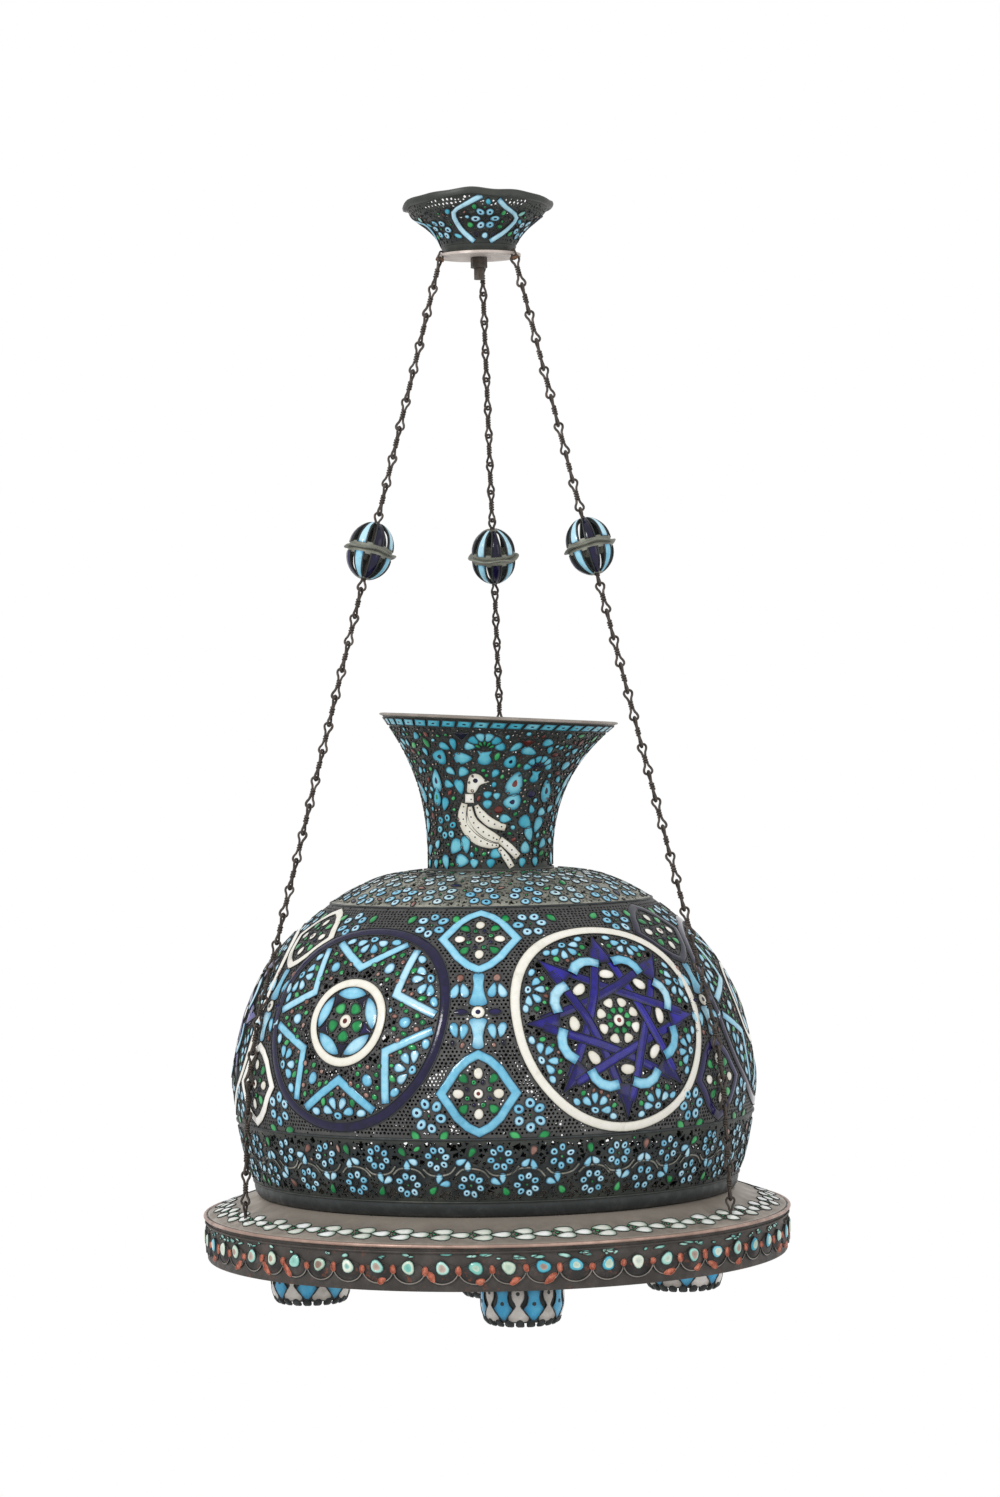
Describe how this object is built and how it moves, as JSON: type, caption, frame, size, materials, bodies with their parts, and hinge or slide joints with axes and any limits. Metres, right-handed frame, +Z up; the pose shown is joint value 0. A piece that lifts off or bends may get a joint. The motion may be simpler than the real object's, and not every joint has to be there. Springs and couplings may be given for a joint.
{
  "type": "hanging mosque lamp",
  "caption": "Hanging mosque lamp of pierced, enamelled copper: flared canopy, link chains with ribbed balls, and a domed body with a trumpet neck on a scalloped plate with cups below.",
  "frame": {"origin": "where the ceiling hook bears in the hanging ring, on the lamp's axis", "axes": "+Z up along the lamp's axis, -Y the side that the picture shows, +X to its right"},
  "size_m": [0.4572, 0.4578, 0.8493],
  "materials": {
    "dome_enamel": "pierced copper sheet with turquoise, navy, white, green and red enamel cells",
    "canopy_enamel": "copper sheet with light blue and navy enamel cells",
    "scallop_enamel": "worn turquoise and green enamel drops on copper",
    "cup_enamel": "turquoise and white enamel on dark copper",
    "ball_enamel": "light blue and navy enamel ribs with worn copper",
    "dark_metal": "dark patinated copper alloy",
    "flange_metal": "dull greenish patina",
    "iron_wire": "dark iron wire with rust",
    "iron_fittings": "dark forged iron"
  },
  "bodies": {
    "canopy": {"canopy_cup": "canopy_enamel", "canopy_rim": "dark_metal", "canopy_disc": "dark_metal", "canopy_washer": "iron_fittings", "rod_nut": "iron_fittings", "hanging_ring": "iron_fittings"},
    "lamp": {"neck": "dome_enamel", "neck_rim": "dark_metal", "dome_crown": "dome_enamel", "dome_shoulder": "dome_enamel", "dome_belly": "dome_enamel", "dome_skirt": "dome_enamel", "dome_foot": "dark_metal", "plate": "dark_metal", "plate_band": "dark_metal", "plate_bead": "dark_metal", "scallop_strip": "scallop_enamel", "cup_centre": "cup_enamel", "cup_1": "cup_enamel", "cup_2": "cup_enamel", "cup_3": "cup_enamel", "cup_4": "cup_enamel", "plate_eye_back": "iron_wire", "chain_back_drape": "iron_wire", "plate_eye_left": "iron_wire", "chain_left_drape": "iron_wire", "plate_eye_right": "iron_wire", "chain_right_drape": "iron_wire"},
    "chain_back": {"chain_back_upper": "iron_wire", "ball_wire_back": "iron_wire", "chain_back_lower": "iron_wire"},
    "ball_back": {"ball_back_upper": "ball_enamel", "ball_back_flange": "flange_metal", "ball_back_lower": "ball_enamel"},
    "chain_left": {"chain_left_upper": "iron_wire", "ball_wire_left": "iron_wire", "chain_left_lower": "iron_wire"},
    "ball_left": {"ball_left_upper": "ball_enamel", "ball_left_flange": "flange_metal", "ball_left_lower": "ball_enamel"},
    "chain_right": {"chain_right_upper": "iron_wire", "ball_wire_right": "iron_wire", "chain_right_lower": "iron_wire"},
    "ball_right": {"ball_right_upper": "ball_enamel", "ball_right_flange": "flange_metal", "ball_right_lower": "ball_enamel"}
  },
  "joints": [
    {"name": "lamp_swing", "type": "hinge", "parent": "canopy", "child": "lamp", "pos_m": [0, 0, 0.08776], "axis": [0, 1, 0], "range_deg": [-5, 5]},
    {"name": "chain_back_sway", "type": "hinge", "parent": "canopy", "child": "chain_back", "pos_m": [0, 0.03205, -0.0257], "axis": [0, 1, 0], "range_deg": [-6, 6]},
    {"name": "ball_back_spin", "type": "hinge", "parent": "chain_back", "child": "ball_back", "pos_m": [0, 0.09742, -0.2571], "axis": [0, -0.2718, 0.9623], "continuous": true},
    {"name": "chain_left_sway", "type": "hinge", "parent": "canopy", "child": "chain_left", "pos_m": [-0.02776, -0.01603, -0.0257], "axis": [0, 1, 0], "range_deg": [-6, 6]},
    {"name": "ball_left_spin", "type": "hinge", "parent": "chain_left", "child": "ball_left", "pos_m": [-0.08436, -0.04871, -0.2571], "axis": [0.2354, 0.1359, 0.9623], "continuous": true},
    {"name": "chain_right_sway", "type": "hinge", "parent": "canopy", "child": "chain_right", "pos_m": [0.02776, -0.01603, -0.0257], "axis": [0, 1, 0], "range_deg": [-6, 6]},
    {"name": "ball_right_spin", "type": "hinge", "parent": "chain_right", "child": "ball_right", "pos_m": [0.08436, -0.04871, -0.2571], "axis": [-0.2354, 0.1359, 0.9623], "continuous": true}
  ],
  "couplings": [
    {"joint": "chain_back_sway", "follows": "lamp_swing", "ratio": 1.1924},
    {"joint": "chain_left_sway", "follows": "lamp_swing", "ratio": 1.1924},
    {"joint": "chain_right_sway", "follows": "lamp_swing", "ratio": 1.1924}
  ]
}
